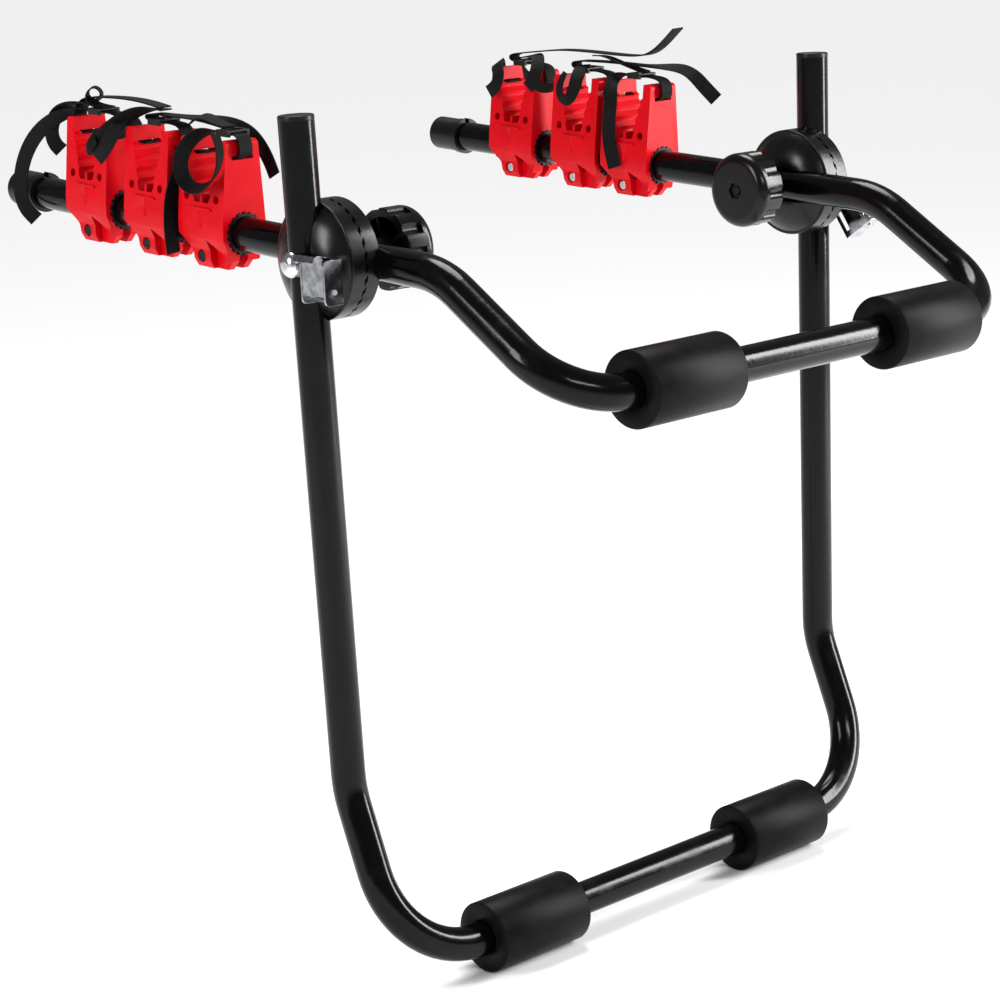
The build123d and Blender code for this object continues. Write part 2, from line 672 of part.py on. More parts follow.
def make_cradle():
    """A moulded cradle round the arm, in its own plane: Y along the arm, Z up, both faces alike."""
    slot_height = cradle_top - slot_below_top
    across = cradle_waist_half_thick + cut_over
    with BuildPart() as cradle:
        add(make_cradle_block())
        with BuildSketch(Plane.YZ):
            for side in (-1, 1):
                with BuildLine():
                    Polyline(*notch_outline(side), (0, cradle_top + cut_over), close=True)
                make_face()
            with Locations((0, notch_floor)):
                Rectangle(notch_fin, 2 * notch_fin_height, mode=Mode.SUBTRACT)
            with Locations((-eye_side, eye_height), (eye_side, eye_height)):
                Circle(eye_r)
            with Locations((screw_side, -screw_drop)):
                Circle(screw_r + screw_hole_gap)
        extrude(amount=across, both=True, mode=Mode.SUBTRACT)
        with BuildSketch(Plane.XZ):
            Circle(cradle_bore_r)
            with PolarLocations(cradle_bore_r, spline_count):
                Rectangle(2 * spline_height, spline_width, mode=Mode.SUBTRACT)
            with Locations((0, -(cradle_bore_r + cradle_foot) / 2)):
                Rectangle(slit, cradle_foot)
            with Locations((0, slot_height)):
                Rectangle(slot_width, slot_thick)
        extrude(amount=cradle_half + cut_over, both=True, mode=Mode.SUBTRACT)
        for side in (-1, 1):
            floor = Plane.YZ.offset(side * (lug_half_thick - pocket_depth))
            with BuildSketch(floor):
                with Locations((screw_side, -screw_drop)):
                    Circle(pocket_r)
            extrude(amount=side * (pocket_depth + across - lug_half_thick), mode=Mode.SUBTRACT)
            recess = [(-y * cradle_half, -z * cradle_foot) for y, z in zip(recess_side_shares, recess_drop_shares)]
            with BuildSketch(Plane.YZ.offset(side * (lug_half_thick - recess_depth))):
                with BuildLine():
                    Polyline(*recess, close=True)
                make_face()
            extrude(amount=side * (recess_depth + across - lug_half_thick), mode=Mode.SUBTRACT)
    return cradle.part


def make_sleeve():
    """The splined sleeve between an arm and its cradle."""
    with BuildPart() as sleeve:
        with BuildSketch(Plane.XZ):
            Circle(sleeve_r)
            with PolarLocations(sleeve_r, spline_count, start_angle=180 / spline_count):
                Rectangle(2 * (spline_reach - sleeve_r), spline_width)
            Circle(tube_r + sleeve_bore_gap, mode=Mode.SUBTRACT)
        extrude(amount=cradle_half + sleeve_proud, both=True)
    return sleeve.part


def make_clamp_screw():
    """The pan-head screw through the cradle's foot, with its nut, as two solids."""
    seat = lug_half_thick - pocket_depth
    with BuildPart() as screw:
        with BuildSketch(Plane.YZ.offset(-seat)):
            with Locations((screw_side, -screw_drop)):
                Circle(screw_head_r)
        extrude(amount=-screw_head)
        fillet(screw.edges().sort_by(Axis.X)[0], radius=screw_head / 2)
        with BuildSketch(Plane.YZ.offset(-seat)):
            with Locations((screw_side, -screw_drop)):
                Circle(screw_r)
        extrude(amount=2 * seat + screw_nut)
        with BuildSketch(Plane.YZ.offset(seat + seat_gap)):
            with Locations((screw_side, -screw_drop)):
                RegularPolygon(screw_nut_across / 2, 6, major_radius=False)
                Circle(screw_r + slip_gap, mode=Mode.SUBTRACT)
        extrude(amount=screw_nut)
    return screw.part


def strap_planes(route):
    """The sections' planes along a strap: Z along its run, X across its width."""
    points = [Vector(*point[:3]) for point in route]
    planes = []
    for i, point in enumerate(points):
        before = points[max(i - 1, 0)]
        after = points[min(i + 1, len(points) - 1)]
        into = (point - before).normalized() if i > 0 else (after - point).normalized()
        out = (after - point).normalized() if i < len(points) - 1 else into
        run = (into + out).normalized()
        level = (Vector(1, 0, 0) - run * run.X).normalized()
        turn = radians(route[i][3])
        planes.append(Plane(origin=point, x_dir=level * cos(turn) + run.cross(level) * sin(turn), z_dir=run))
    return planes


def make_strap(routes):
    """The webbing of one cradle: a ruled loft between the sections at each two points of a route."""
    with BuildPart() as strap:
        for route in routes:
            planes = strap_planes(route)
            for span in zip(planes, planes[1:]):
                for plane in span:
                    with BuildSketch(plane):
                        Rectangle(strap_width, strap_thick)
                loft(ruled=True)
    return strap.part


def make_slide():
    """A three-bar slide: two rails, a bar under the webbing and two over it, Z out of the webbing."""
    clear = strap_thick / 2 + free_gap
    with BuildPart() as slide:
        for side in (-1, 1):
            with BuildSketch(Plane.XY.offset(-slide_half_height)):
                with Locations((side * (slide_half_width - slide_rail / 2), 0)):
                    Rectangle(slide_rail, 2 * slide_half_length)
            extrude(amount=2 * slide_half_height)
            with BuildSketch(Plane.XY.offset(clear)):
                with Locations((0, side * (slide_half_length - slide_bar / 2))):
                    Rectangle(2 * slide_half_width, slide_bar)
            extrude(amount=slide_half_height - clear)
        with BuildSketch(Plane.XY.offset(-slide_half_height)):
            Rectangle(2 * slide_half_width, slide_bar)
        extrude(amount=slide_half_height - clear)
    return slide.part


def slide_place(route, start):
    """The plane of a slide in the middle of one run of a strap."""
    first = Vector(*route[start][:3])
    last = Vector(*route[start + 1][:3])
    return Plane(origin=(first + last) / 2, x_dir=(1, 0, 0), z_dir=Vector(1, 0, 0).cross(last - first))


# Both frames with their caps and pads
write(make_bumper_frame(), "bumper_frame")
write(make_trunk_frame(), "trunk_frame")
upright_cap = make_upright_cap()
arm_cap = make_arm_cap()
pad = make_pad()
sides = {"left": -1, "right": 1}
for name, side in sides.items():
    splay_run = (side * sin(radians(upright_splay)), 0, cos(radians(upright_splay)))
    top = Plane(origin=(side * upright_x(frame_top), hub_y, frame_top), x_dir=(0, 1, 0), z_dir=splay_run)
    tip = Plane(origin=Vector(side * arm_x, hub_y, hub_height) + arm_run * arm_reach, x_dir=arm_up, z_dir=arm_run)
    upper_bar = (side * upper_pad_offset, hub_y - upper_bar_back, hub_height - upper_bar_drop)
    write(upright_cap, f"{name}_upright_cap", top.location)
    write(arm_cap, f"{name}_arm_cap", tip.location)
    write(pad, f"{name}_lower_pad", Plane(origin=(side * lower_pad_offset, 0, 0), z_dir=(1, 0, 0)).location)
    write(pad, f"{name}_upper_pad", Plane(origin=upper_bar, z_dir=(1, 0, 0)).location)

# Hubs, bolts and knobs
outer_disc = make_hub_disc(upright_splay)
inner_disc = make_hub_disc(0)
hub_bolt = make_hub_bolt()
saddle_washer = make_saddle_washer()
knob = make_knob()
knob_nut = make_knob_nut()
for name, side in sides.items():
    write(outer_disc, f"{name}_outer_hub_disc", hub_plane(side, hub_x - half_gap, 1, (0, 0, 1)).location)
    write(inner_disc, f"{name}_inner_hub_disc", hub_plane(side, hub_x - half_gap, -1, arm_run).location)
    write(hub_bolt, f"{name}_hub_bolt", hub_plane(side, hub_x, 1, (0, 0, 1)).location)
    from_arm = hub_plane(side, arm_x, -1, arm_run).location
    write(saddle_washer, f"{name}_saddle_washer", from_arm)
    write(knob, f"{name}_knob", from_arm)
    write(knob_nut, f"{name}_knob_nut", from_arm)

# Cam buckles, the right one swivelled down
buckle_pieces = {"buckle_body": make_buckle_body(), "cam_pin": make_cam_pin(),
                 "cam_lever": make_cam_lever(), "cam_spring": make_cam_spring()}
droops = {"left": 0, "right": right_buckle_droop}
for name, side in sides.items():
    reach = (0, -cos(radians(droops[name])), -sin(radians(droops[name])))
    for piece, part in buckle_pieces.items():
        write(part, f"{name}_{piece}", hub_plane(side, hub_x, 1, reach).location)

# Cradles with their sleeves, clamp screws, straps and slides. The left ones carry their nuts outside.
cradle = make_cradle()
sleeve = make_sleeve()
clamp_screw = make_clamp_screw()
turned_screw = mirror(clamp_screw, about=Plane.YZ)
slide = make_slide()
from_tip = {"left": left_cradles_from_tip, "right": right_cradles_from_tip}
for name, side in sides.items():
    for number, back in enumerate(from_tip[name], start=1):
        along = arm_reach - back
        key = f"{name}_{number}"
        place = arm_plane(side, along).location
        write(cradle, f"{name}_cradle_{number}", place)
        write(sleeve, f"{name}_sleeve_{number}", place)
        write(turned_screw if side < 0 else clamp_screw, f"{name}_clamp_screw_{number}", place)
        routes = [straps[key] for straps in (long_straps, short_straps) if key in straps]
        write(make_strap(routes), f"{name}_strap_{number}", place)
        slide_plane = slide_place(long_straps[key], slide_runs[key])
        write(slide, f"{name}_strap_slide_{number}", place * slide_plane.location)
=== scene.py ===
import json
from math import cos, pi, radians, sin

import bmesh
import bpy
from mathutils import Euler, Matrix, Vector


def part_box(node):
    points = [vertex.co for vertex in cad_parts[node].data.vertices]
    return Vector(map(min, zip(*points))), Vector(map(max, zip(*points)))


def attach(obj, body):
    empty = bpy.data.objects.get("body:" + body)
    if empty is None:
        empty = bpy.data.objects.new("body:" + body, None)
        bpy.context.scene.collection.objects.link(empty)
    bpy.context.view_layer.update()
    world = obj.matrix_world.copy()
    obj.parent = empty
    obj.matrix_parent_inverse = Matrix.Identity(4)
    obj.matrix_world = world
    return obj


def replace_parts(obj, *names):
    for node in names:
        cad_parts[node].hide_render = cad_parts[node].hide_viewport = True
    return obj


# A folding bicycle carrier: black tube frames, red cradles, webbing straps and plated cam buckles.
# Everything is in metres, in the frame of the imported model.

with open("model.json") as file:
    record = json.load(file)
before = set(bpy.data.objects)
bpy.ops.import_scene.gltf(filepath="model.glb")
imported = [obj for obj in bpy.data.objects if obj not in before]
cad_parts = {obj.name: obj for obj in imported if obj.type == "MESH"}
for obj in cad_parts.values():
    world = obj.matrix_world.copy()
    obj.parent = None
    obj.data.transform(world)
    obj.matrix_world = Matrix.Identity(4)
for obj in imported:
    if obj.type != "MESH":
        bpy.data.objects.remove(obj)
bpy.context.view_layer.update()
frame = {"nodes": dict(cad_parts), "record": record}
MM = 0.001
scene = bpy.context.scene
run_map = "run"


# The camera stands where lines of the photograph's tubes meet the model's best

camera = bpy.data.objects.new("camera", bpy.data.cameras.new("camera"))
scene.collection.objects.link(camera)
camera.data.sensor_width = 36.0
camera.data.lens = 94.74
camera.data.clip_start, camera.data.clip_end = 0.05, 60.0
camera.location = (-1.5013, -1.5264, 0.8399)
camera.rotation_euler = Euler([radians(a) for a in (76.6991, 2.7927, -42.0881)], "XYZ")
scene.camera = camera


# Finishes

class Wire:
    """A socket of a finish. Sums and products of wires and numbers add Math nodes to the finish."""

    def __init__(self, finish, socket):
        self.finish, self.socket = finish, socket

    def math(self, operation, *values):
        return self.finish.node("ShaderNodeMath", {"operation": operation}, *values)

    def __add__(self, other):
        return self.math("ADD", self, other)

    __radd__ = __add__

    def __rsub__(self, other):
        return self.math("SUBTRACT", other, self)

    def __mul__(self, other):
        return self.math("MULTIPLY", self, other)

    __rmul__ = __mul__

    def __abs__(self):
        return self.math("ABSOLUTE", self)

    def sine(self):
        return self.math("SINE", self)

    def above(self, start, end):
        """0 below start, 1 above end, and smooth between them."""
        return self.finish.node("ShaderNodeMapRange", {"interpolation_type": "SMOOTHSTEP"},
                                self, start, end, 0.0, 1.0)


class Finish:
    """One procedural material round a Principled shader."""

    def __init__(self, name, **fixed):
        self.material = bpy.data.materials.new(name)
        self.material.use_nodes = True
        self.tree = self.material.node_tree
        self.shader = self.tree.nodes["Principled BSDF"]
        for socket, value in fixed.items():
            self.shader.inputs[socket.replace("_", " ")].default_value = value

    def node(self, kind, settings=None, *values, out=0, **named):
        """A node with its settings made first, then its sockets' values or links, by order or by name."""
        made = self.tree.nodes.new(kind)
        for name, value in (settings or {}).items():
            setattr(made, name, value)
        sockets = list(zip(made.inputs, values)) + [(made.inputs[name.replace("_", " ")], value)
                                                    for name, value in named.items()]
        for socket, value in sockets:
            if isinstance(value, Wire):
                self.tree.links.new(value.socket, socket)
            elif value is not None:
                socket.default_value = value
        return Wire(self, made.outputs[out])

    def place(self):
        return self.node("ShaderNodeTexCoord", out=3)

    def along(self):
        """The webbing's own map as wires: metres along it and metres across it."""
        return self.split(self.node("ShaderNodeUVMap", {"uv_map": run_map}))[:2]

    def split(self, wire):
        """A place's three numbers as wires."""
        made = self.tree.nodes.new("ShaderNodeSeparateXYZ")
        self.tree.links.new(wire.socket, made.inputs[0])
        return [Wire(self, socket) for socket in made.outputs]

    def noise(self, scale, detail, roughness=0.5):
        return self.node("ShaderNodeTexNoise", None, Vector=self.place(), Scale=scale, Detail=detail,
                         Roughness=roughness)

    def cells(self, scale):
        return self.node("ShaderNodeTexVoronoi", None, Vector=self.place(), Scale=scale)

    def mix(self, share, low, high):
        """A colour between two, by a share."""
        made = self.tree.nodes.new("ShaderNodeMix")
        made.data_type = "RGBA"
        self.tree.links.new(share.socket, made.inputs[0])
        for socket, value in ((made.inputs[6], low), (made.inputs[7], high)):
            if isinstance(value, Wire):
                self.tree.links.new(value.socket, socket)
            else:
                socket.default_value = (*value, 1.0)
        return Wire(self, made.outputs[2])

    def feed(self, socket, wire):
        self.tree.links.new(wire.socket, self.shader.inputs[socket])

    def raised(self, height, depth, strength):
        """Bumps as high as depth metres where the height wire is 1."""
        self.feed("Normal", self.node("ShaderNodeBump", None, Strength=strength, Distance=depth, Height=height))


def gloss_powder_coat():
    """Black powder coat: glossy, with the faint orange peel that bends its highlights."""
    f = Finish("gloss_powder_coat", Specular_IOR_Level=0.16)
    peel = f.noise(260.0, 2.0)
    rub = f.noise(34.0, 5.0, 0.65).above(0.5, 0.75)
    f.feed("Base Color", f.mix(rub, (0.0012, 0.0012, 0.0013), (0.0035, 0.0035, 0.0038)))
    f.feed("Roughness", 0.13 + 0.10 * rub + 0.05 * f.noise(900.0, 1.0))
    f.raised(peel, 0.00016, 0.35)
    return f.material


def satin_plastic(name, dark, light, roughness, grain_depth=0.00006, scale=1500.0, **fixed):
    """Moulded plastic: a fine spark-eroded grain over slow changes of its sheen."""
    f = Finish(name, **fixed)
    cloud = f.noise(45.0, 4.0, 0.6)
    grain = f.noise(scale, 2.0)
    f.feed("Base Color", f.mix(cloud.above(0.35, 0.75), dark, light))
    f.feed("Roughness", roughness + 0.10 * cloud + 0.10 * grain)
    f.raised(grain, grain_depth, 0.6)
    return f.material


def foam_skin():
    """Moulded foam: a tight skin with fine pores, matte and a little worn."""
    f = Finish("foam_skin", Specular_IOR_Level=0.055)
    pores = f.cells(1400.0)
    cloud = f.noise(60.0, 5.0, 0.6)
    fine = f.noise(2600.0, 2.0)
    f.feed("Base Color", f.mix(cloud.above(0.3, 0.8), (0.003, 0.0028, 0.0027), (0.006, 0.0056, 0.0053)))
    f.feed("Roughness", 0.27 + 0.12 * cloud + 0.08 * fine)
    f.raised(pores + 0.6 * fine, 0.00012, 0.7)
    return f.material


def plated_steel():
    """Bright zinc-chrome plate over pressed strip: mirror-like with rolling marks, bright and dull in clouds."""
    f = Finish("plated_steel", Metallic=1.0)
    drawn_out = f.node("ShaderNodeMapping", None, f.place(), None, None, (2600.0, 2600.0, 90.0))
    streaks = f.node("ShaderNodeTexNoise", None, Vector=drawn_out, Scale=1.0, Detail=3.0)
    cloud = f.noise(140.0, 4.0, 0.6)
    f.feed("Base Color", f.mix(cloud.above(0.35, 0.65), (0.22, 0.225, 0.235), (0.42, 0.43, 0.45)))
    f.feed("Roughness", 0.07 + 0.08 * streaks + 0.14 * cloud.above(0.5, 0.8))
    f.raised(streaks + cloud, 0.00005, 0.5)
    return f.material


# Between these distances from the rack's middle a hub bolt turns from its end inside the knob, painted dark as
# shade, into its bright head
bolt_middle_x = (0.25, 0.27)


def hub_bolt_steel():
    """Bright plate on the bolt's head, and painted shade on its threaded end inside the knob's recess."""
    f = Finish("hub_bolt_steel", Metallic=1.0)
    cloud = f.noise(160.0, 4.0, 0.6)
    head = abs(f.split(f.place())[0]).above(*bolt_middle_x)
    bright = f.mix(cloud.above(0.45, 0.75), (0.62, 0.63, 0.65), (0.48, 0.49, 0.51))
    # Painted shade: the bolt's end in the knob's recess is painted near black and the head keeps its bright plate
    f.feed("Base Color", f.mix(head, (0.02, 0.019, 0.018), bright))
    f.feed("Roughness", 0.14 + 0.1 * cloud + 0.3 * (1.0 - head))
    f.raised(f.noise(1300.0, 2.0), 0.00004, 0.5)
    return f.material


def zinc_plate():
    """Dull zinc on screws, pins and springs, turning slightly yellow in places."""
    f = Finish("zinc_plate", Metallic=1.0)
    cloud = f.noise(220.0, 4.0, 0.6)
    grain = f.noise(2200.0, 2.0)
    f.feed("Base Color", f.mix(cloud.above(0.4, 0.7), (0.56, 0.56, 0.57), (0.47, 0.45, 0.40)))
    f.feed("Roughness", 0.26 + 0.16 * cloud + 0.06 * grain)
    f.raised(grain, 0.00004, 0.5)
    return f.material


# The weave of the webbing: its ends across, its picks along, and where its bound edge starts
end_pitch, pick_pitch, bound_edge = 1.7 * MM, 1.15 * MM, (5.9 * MM, 6.4 * MM)


def woven_webbing():
    """Flat black nylon webbing on its own map: cross ribs, paired ends along it and bound edges."""
    f = Finish("woven_webbing", Specular_IOR_Level=0.11)
    run, across = f.along()
    ends = (across * (2 * pi / end_pitch)).sine()
    picks = (run * (2 * pi / pick_pitch) + 1.2 * ends).sine()
    edge = abs(across).above(*bound_edge)
    wear = f.noise(90.0, 4.0, 0.6)
    weave = (0.5 + 0.5 * picks) * (0.72 + 0.28 * ends) * (1.0 - edge) + 0.8 * edge
    f.feed("Base Color", f.mix(weave * wear, (0.0008, 0.0008, 0.0009), (0.0055, 0.0055, 0.006)))
    f.feed("Roughness", 0.46 + 0.14 * wear + 0.08 * (1.0 - weave))
    f.raised(weave, 0.00022, 0.9)
    return f.material


powder_coat = gloss_powder_coat()
black, worn_black, dusty_black = (0.0018, 0.0018, 0.002), (0.002, 0.002, 0.0021), (0.004, 0.004, 0.0043)
disc_plastic = satin_plastic("hub_plastic", black, dusty_black, 0.16, Specular_IOR_Level=0.26)
knob_plastic = satin_plastic("knob_plastic", black, dusty_black, 0.14, Specular_IOR_Level=0.24)
cap_plastic = satin_plastic("cap_plastic", worn_black, dusty_black, 0.24, Specular_IOR_Level=0.24)
sleeve_plastic = satin_plastic("sleeve_plastic", worn_black, dusty_black, 0.3, Specular_IOR_Level=0.2)
cradle_plastic = satin_plastic("cradle_plastic", (0.50, 0.0008, 0.005), (0.57, 0.0012, 0.008), 0.22,
                               0.00005, 1100.0, Specular_IOR_Level=0.09)
foam = foam_skin()
plate = plated_steel()
bolt_steel = hub_bolt_steel()
zinc = zinc_plate()
# Steel painted dark as shade, for screws and nuts that sit in shaded pockets and recesses: its darkness is painted
# shade
shade_dark_steel = satin_plastic("shade_painted_steel", (0.02, 0.02, 0.02), (0.035, 0.034, 0.033), 0.35, Metallic=1.0)
webbing = woven_webbing()

# A node takes the finish of the longest of these that is in its name, with soft edges as wide in millimetres
node_finishes = {
    "frame": (powder_coat, 0.0), "hub_disc": (disc_plastic, 0.35), "knob": (knob_plastic, 0.5),
    "cap": (cap_plastic, 0.3), "washer": (cap_plastic, 0.3), "cradle": (cradle_plastic, 0.35),
    # The left clamp screws and the knob nuts take the steel painted dark as shade in their recesses
    "sleeve": (sleeve_plastic, 0.2), "screw": (zinc, 0.2), "left_clamp_screw": (shade_dark_steel, 0.2),
    "knob_nut": (shade_dark_steel, 0.25), "bolt": (bolt_steel, 0.3), "buckle_body": (plate, 0.5),
    "cam_pin": (zinc, 0.2), "cam_lever": (plate, 0.25), "cam_spring": (zinc, 0.0),
    "strap_slide": (cap_plastic, 0.25),
}


# Ways of making pieces

def body_with(node):
    return next(body for body, nodes in frame["record"]["behaviour"]["bodies"].items() if node in nodes)


def slot_of(node):
    return next(row["material_slot"] for row in frame["record"]["subparts"] if row["node"] == node)


def new_piece(name, mesh, finish, node):
    """A piece of the object in a node's place, with its finish and the body it rides on."""
    piece = bpy.data.objects.new(name, mesh)
    scene.collection.objects.link(piece)
    mesh.materials.clear()
    mesh.materials.append(finish)
    slot_of(node)
    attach(piece, body_with(node))
    return piece


def soften(piece, width):
    """Small rounds along a piece's edges, as moulds and presses leave them."""
    bevel = piece.modifiers.new("edges", "BEVEL")
    bevel.limit_method = "ANGLE"
    bevel.angle_limit = crease
    bevel.width = width
    bevel.segments = 2


# Edges sharper than the crease stay sharp. Points nearer than the weld become one, edges shorter than the
# sliver go, and triangles flatter to each other than the flat angle join
crease, weld, sliver, flat_angle = radians(28), 0.002 * MM, 0.001 * MM, radians(0.5)


def joined_copy(node):
    """A merged copy of a CAD node's triangles as whole faces, ready for soft edges."""
    mesh = frame["nodes"][node].data.copy()
    form = bmesh.new()
    form.from_mesh(mesh)
    bmesh.ops.remove_doubles(form, verts=form.verts, dist=weld)
    bmesh.ops.dissolve_degenerate(form, edges=form.edges, dist=sliver)
    bmesh.ops.dissolve_limit(form, angle_limit=flat_angle, verts=form.verts, edges=form.edges,
                             delimit={"NORMAL"})
    for face in form.faces:
        face.smooth = True
    for edge in form.edges:
        edge.smooth = len(edge.link_faces) == 2 and edge.calc_face_angle(0.0) < crease
    form.to_mesh(mesh)
    form.free()
    return mesh


def finish_of(node):
    kinds = [kind for kind in node_finishes if kind in node]
    return node_finishes[max(kinds, key=len)]


def dressed(node):
    """A CAD node with soft edges in its own finish, which stands for the node."""
    finish, edge = finish_of(node)
    piece = new_piece(node + "_dressed", joined_copy(node), finish, node)
    soften(piece, edge * MM)
    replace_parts(piece, node)


# The rigid parts

for node, cad in list(frame["nodes"].items()):
    if "pad" in node or node.endswith(("strap_1", "strap_2", "strap_3")):
        continue
    finish, edge = finish_of(node)
    if edge:
        dressed(node)
        continue
    cad.data.materials.clear()
    cad.data.materials.append(finish)


# The foam rolls

pad_r, pad_half, tube_r = 29.5 * MM, 47.0 * MM, 14.0 * MM
foam_edge, foam_dip, foam_steps, foam_weld = 1.2 * MM, 1.5 * MM, 96, 0.01 * MM
foam_corner_in, foam_corner_back = 0.4 * MM, 0.35 * MM


def foam_roll(node):
    """A foam roll spun round its bar, with soft edges and ends that dip at the tube."""
    low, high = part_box(node)
    centre = (Vector(low) + Vector(high)) / 2
    profile = [(tube_r, pad_half - foam_edge), (tube_r + foam_dip, pad_half), (pad_r - foam_edge, pad_half),
               (pad_r - foam_corner_in, pad_half - foam_corner_back), (pad_r, pad_half - foam_edge)]
    profile = [(radius, -along) for radius, along in profile] + profile[::-1]
    form = bmesh.new()
    ring = [form.verts.new((along, 0.0, radius)) for radius, along in profile]
    edges = [form.edges.new(pair) for pair in zip(ring, ring[1:])]
    bmesh.ops.spin(form, geom=ring + edges, cent=(0, 0, 0), axis=(1, 0, 0), angle=2 * pi, steps=foam_steps,
                   use_merge=True)
    bmesh.ops.remove_doubles(form, verts=form.verts, dist=foam_weld)
    bmesh.ops.recalc_face_normals(form, faces=form.faces)
    bmesh.ops.translate(form, verts=form.verts, vec=centre)
    for face in form.faces:
        face.smooth = True
    mesh = bpy.data.meshes.new(node + "_roll")
    form.to_mesh(mesh)
    form.free()
    piece = new_piece(node + "_roll", mesh, foam, node)
    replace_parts(piece, node)


for side in ("left", "right"):
    for level in ("lower", "upper"):
        foam_roll(f"{side}_{level}_pad")


# The straps. Each point of a route is given from its cradle's middle: across, along the arm, up, and the turn
# of the webbing about its run, in millimetres and degrees.

web_half, web_thick, bend_levels = 6.5, 1.2, 3
arm_x, hub_y, hub_z, arm_rise = 247.908, 54.6, 563.3, radians(3.5)
cradle_places = {"left_1": 164.0, "left_2": 242.0, "left_3": 330.0,
                 "right_1": 180.0, "right_2": 248.5, "right_3": 336.5}
long_straps = {
    "left_1": ((0, -15, 61.2, 0), (0, -25, 61.4, 0), (0, -35, 62, 0), (0, -36, 69, 0), (0, -34, 77, 0),
               (0, -29, 80.5, 0), (0, -9, 80.5, 0), (-5, 0, 80.5, 8), (-15, 6, 79.5, 30), (-25, 12, 70, 45),
               (-28, 17, 56, 45), (-28, 14, 43, 40), (-28, 2, 35.5, 35), (-28, -14, 37, 35),
               (-27.5, -28, 45, 35), (-27, -37, 58, 35), (-26, -37, 72, 30), (-24, -28, 82, 25)),
    "left_2": ((0, -15, 61.2, 0), (0, -25, 61.4, 0), (0, -35, 62, 0), (0, -36, 69, 0), (0, -34, 77, 0),
               (0, -27, 80.5, 0), (0, -12, 80.5, 0), (0, 8, 80.5, 0), (0, 14, 81.2, 0), (0, 16.2, 83.2, 0),
               (0, 13, 85.4, 0), (0, 0, 86, 0), (1, -24, 86.5, 0), (4, -48, 87, 8), (11, -66, 85.5, 30),
               (22, -81, 80.5, 60), (28, -92, 71, 80), (29, -104, 58, 85), (29, -112, 44, 85)),
    "left_3": ((0, -15, 61.2, 0), (0, -25, 61.4, 0), (0, -35, 62, 0), (0, -36, 69, 0), (0, -34, 77, 0),
               (0, -27, 80.5, 0), (0, -12, 81, 0), (0, 8, 81, 0), (-2, 22, 80.5, 8), (-8, 40, 77, 30),
               (-14, 58, 69, 50), (-19, 76, 56, 60), (-22, 90, 38, 60), (-22.5, 99, 20, 60),
               (-22.5, 103, 2, 60), (-22, 97, -12, 55), (-20, 82, -20, 45)),
    "right_1": ((0, -15, 61.2, 0), (0, -25, 61.4, 0), (0, -35, 62, 0), (0, -36, 69, 0), (0, -34, 77, 0),
                (0, -27, 80.5, 0), (0, -12, 81, 0), (0, 8, 81, 0), (-3, 18, 81, 8), (-14, 20, 79, 30),
                (-24, 15, 71, 55), (-27, 11, 58, 65), (-27.5, 13, 42, 70), (-27.5, 14, 26, 70),
                (-27.5, 10, 10, 70), (-27.5, 5, -3, 70)),
    "right_2": ((0, -15, 61.2, 0), (0, -25, 61.4, 0), (0, -33.4, 62, 0), (0, -33.6, 69, 0), (0, -33.4, 77, 0),
                (0, -27, 80.5, 0), (0, -12, 81, 0), (0, 8, 81, 0), (0, 15, 82, 0), (0, 17.5, 85, 0),
                (0, 14, 88, 0), (0, 0, 89, 0), (0, -24, 90, 0), (0, -50, 90.5, 0), (1, -74, 90, 0),
                (7, -91, 90, 10), (20, -105, 89, 22), (26, -115, 81.5, 38), (28, -125, 72, 50),
                (29, -139, 62, 58)),
    "right_3": ((0, -15, 61.2, 0), (0, -25, 61.4, 0), (0, -35, 62, 0), (0, -36, 69, 0), (0, -34, 77, 0),
                (0, -27, 80.5, 0), (0, -12, 81, 0), (0, 8, 81, 0), (0, 15, 82, 0), (0, 17.5, 85, 0),
                (0, 14, 88, 0), (0, 0, 90, 0), (0, -24, 93, 0), (0, -52, 97, 0), (0, -84, 98, 0),
                (0, -116, 98, 0), (0, -146, 98, 0), (-1, -168, 100, 0), (-3, -184, 107, 0),
                (-4, -198, 118, 0), (-5, -210, 128, 0)),
}
short_straps = {
    "left_1": ((0, 15, 61.2, 0), (0, 25, 61.4, 0), (0, 33, 61, 0), (-4, 37.5, 56, 0), (-14, 38, 44, 0),
               (-22, 38, 28, 0), (-24.5, 38, 10, 0), (-24.5, 37.5, -8, 0), (-23, 37, -22, 0)),
    "left_2": ((0, 15, 61.2, 0), (0, 25, 61.4, 0), (0, 35, 62, 0), (0, 36.5, 69, 0), (-3, 36.5, 76, 10),
               (-12, 34.5, 80.5, 35), (-22, 33, 77, 55), (-27, 37, 66, 65), (-28, 46, 55, 70),
               (-28, 58, 46, 70)),
    "left_3": ((0, 15, 61.2, 0), (0, 25, 61.4, 0), (0, 35, 62, 0), (0, 36, 69, 0), (0, 34, 77, 0),
               (0, 29, 84, 0), (0, 22, 89, 0), (0, 12, 91.5, 0), (0, -6, 93, 0), (0, -28, 94.5, 0),
               (0, -52, 95, 0), (0, -74, 94, 0), (0, -92, 92, 0)),
    "right_2": ((0, 15, 61.2, 0), (0, 25, 61.4, 0), (0, 33.5, 61.3, 0), (-3, 38, 61, 15), (-11, 41, 60, 45),
                (-20, 45, 61, 70), (-24, 53, 66, 75), (-24, 64, 74, 70), (-20, 72, 81, 50)),
    "right_3": ((0, 15, 61.2, 0), (0, 25, 61.4, 0), (0, 35, 62, 0), (0, 36, 69, 0), (-3, 34, 77, 10),
                (-12, 27, 80.5, 35), (-22, 18, 77, 60), (-26, 10, 69, 75), (-27, 14, 58, 80),
                (-27, 24, 52, 80)),
}

